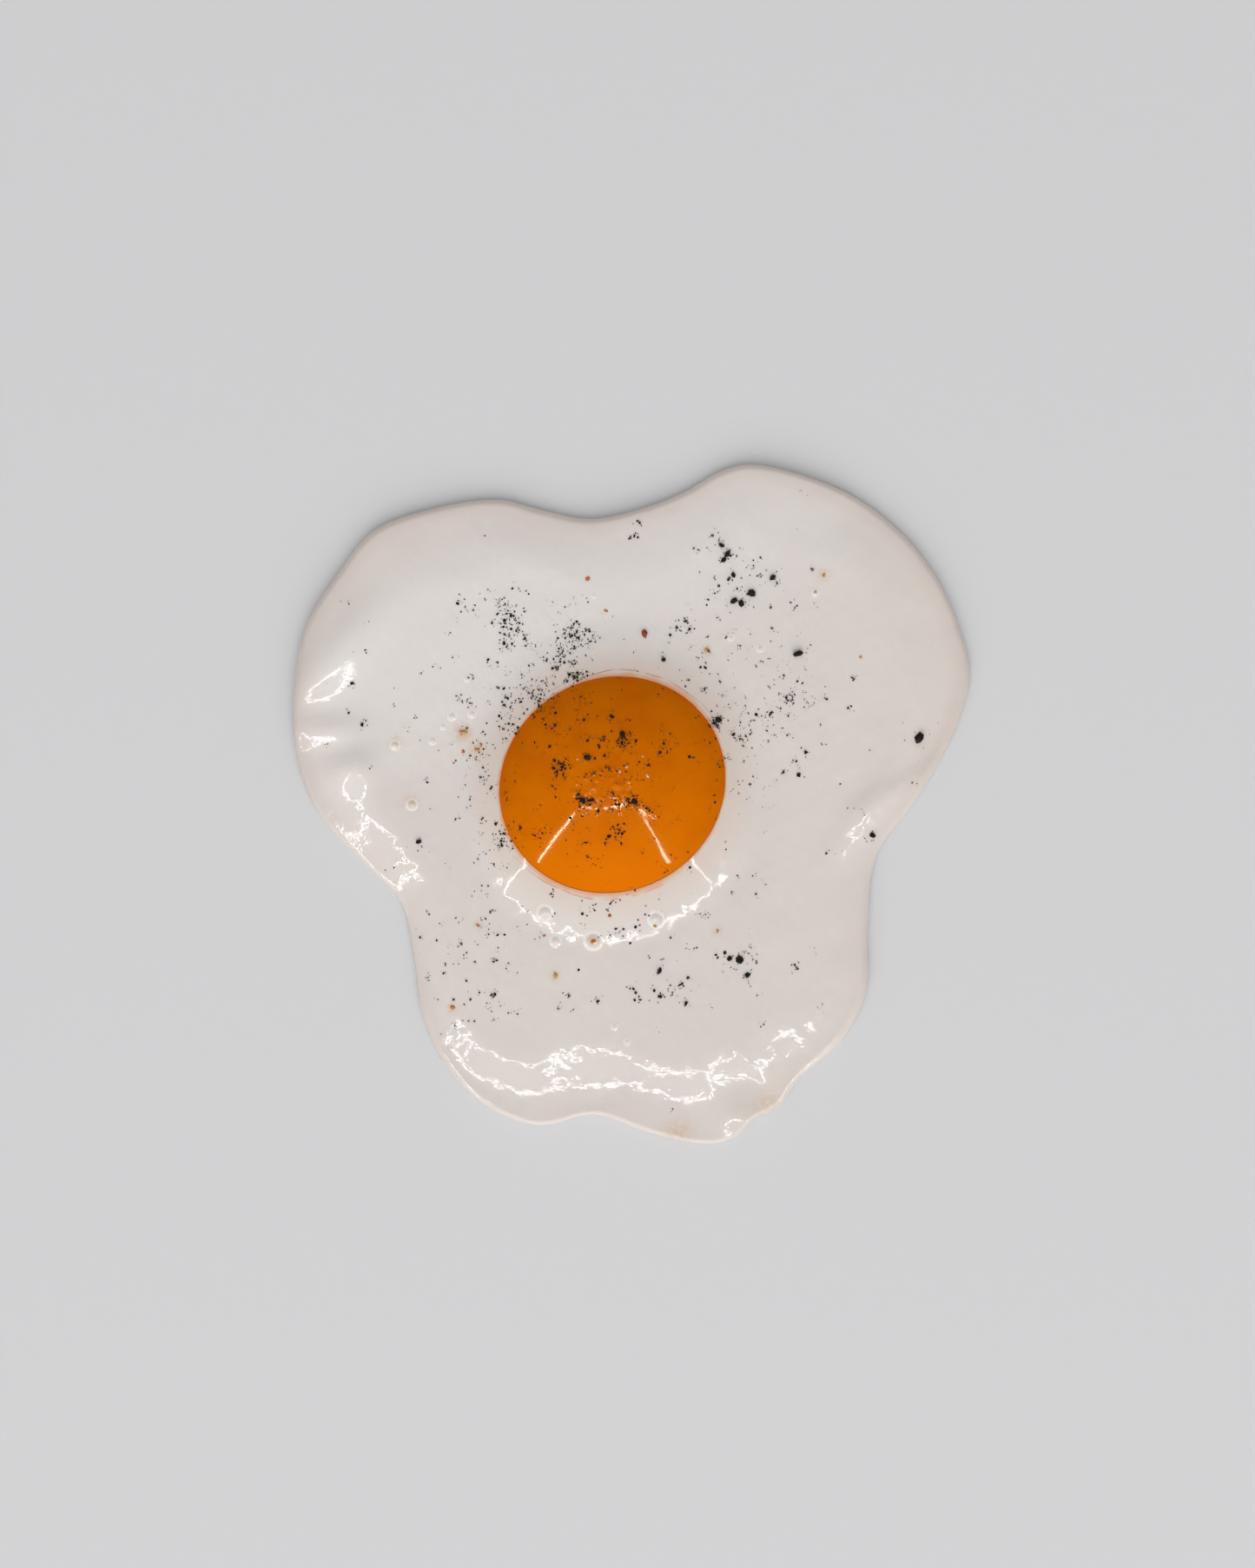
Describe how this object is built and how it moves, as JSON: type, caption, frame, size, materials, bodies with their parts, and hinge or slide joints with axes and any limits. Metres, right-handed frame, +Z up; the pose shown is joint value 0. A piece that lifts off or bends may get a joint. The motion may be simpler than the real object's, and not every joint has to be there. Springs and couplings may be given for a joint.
{
  "type": "fried egg",
  "caption": "Fried egg, sunny side up: a thin lobed white round a domed orange yolk, sprinkled with coarse pepper.",
  "frame": {"origin": "on the surface the egg lies on, under the middle of its outline seen from above", "axes": "+Z up through the yolk; seen from above, +X is to the right and +Y is away from the viewer"},
  "size_m": [0.1169, 0.1172, 0.013],
  "materials": {
    "egg_white": "gloss",
    "yolk": "gloss"
  },
  "bodies": {
    "root": {"egg_white": "egg_white", "yolk": "yolk"}
  },
  "joints": []
}
